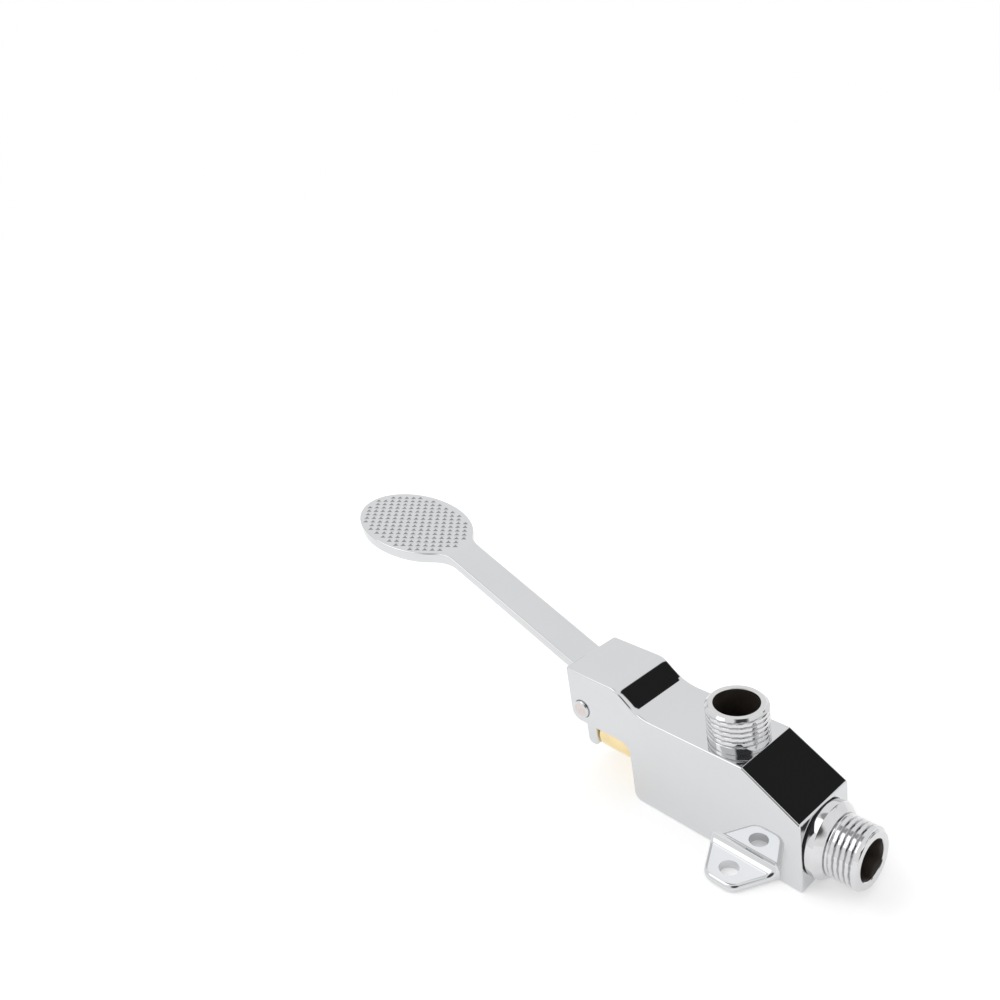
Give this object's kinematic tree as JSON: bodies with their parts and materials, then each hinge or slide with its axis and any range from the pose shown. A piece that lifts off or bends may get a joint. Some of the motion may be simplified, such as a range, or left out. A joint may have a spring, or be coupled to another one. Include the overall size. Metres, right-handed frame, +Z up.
{
  "type": "foot pedal tap valve",
  "caption": "Floor-mounted foot pedal tap valve: a chromed block with a threaded outlet on top and a threaded inlet, worked by an oval pedal on a hinged lever that pushes a brass plunger.",
  "frame": {"origin": "on the floor, midway between the two floor screw holes", "axes": "+X along the valve towards the inlet, pedal towards -X; +Z up out of the outlet; Y across, symmetric about Y = 0"},
  "size_m": [0.256, 0.0574, 0.0819],
  "materials": {
    "chromed_body": "polished",
    "chromed_nipple": "polished",
    "chromed_lever": "polished",
    "steel_pin": "turned",
    "steel": "drawn wire",
    "plunger_brass": "turned",
    "brass": "turned",
    "black_rubber": "moulded",
    "acetal": "turned"
  },
  "bodies": {
    "valve": {"valve_body": "chromed_body", "inlet_nipple": "chromed_nipple", "inlet_gasket": "black_rubber", "valve_seat": "brass", "pivot_pin": "steel_pin", "return_spring": "steel"},
    "pedal": {"pedal_lever": "chromed_lever", "lever_bush": "acetal"},
    "stem": {"plunger": "plunger_brass", "o_ring_front": "black_rubber", "o_ring_rear": "black_rubber", "seal_washer": "black_rubber", "seal_holder": "brass", "lock_washer": "steel", "stem_nut": "brass"}
  },
  "joints": [
    {"name": "pedal_hinge", "type": "hinge", "parent": "valve", "child": "pedal", "pos_m": [-0.071, 0, 0.03], "axis": [0, -1, 0], "range_deg": [0, 14], "stiffness_Nm_per_rad": 1.4, "springref_deg": -17.19},
    {"name": "stem_slide", "type": "slide", "parent": "valve", "child": "stem", "axis": [1, 0, 0], "range_m": [0, 0.005], "deforming": ["return_spring"]}
  ],
  "couplings": [
    {"joint": "stem_slide", "follows": "pedal_hinge", "m_per_rad": 0.02023}
  ]
}
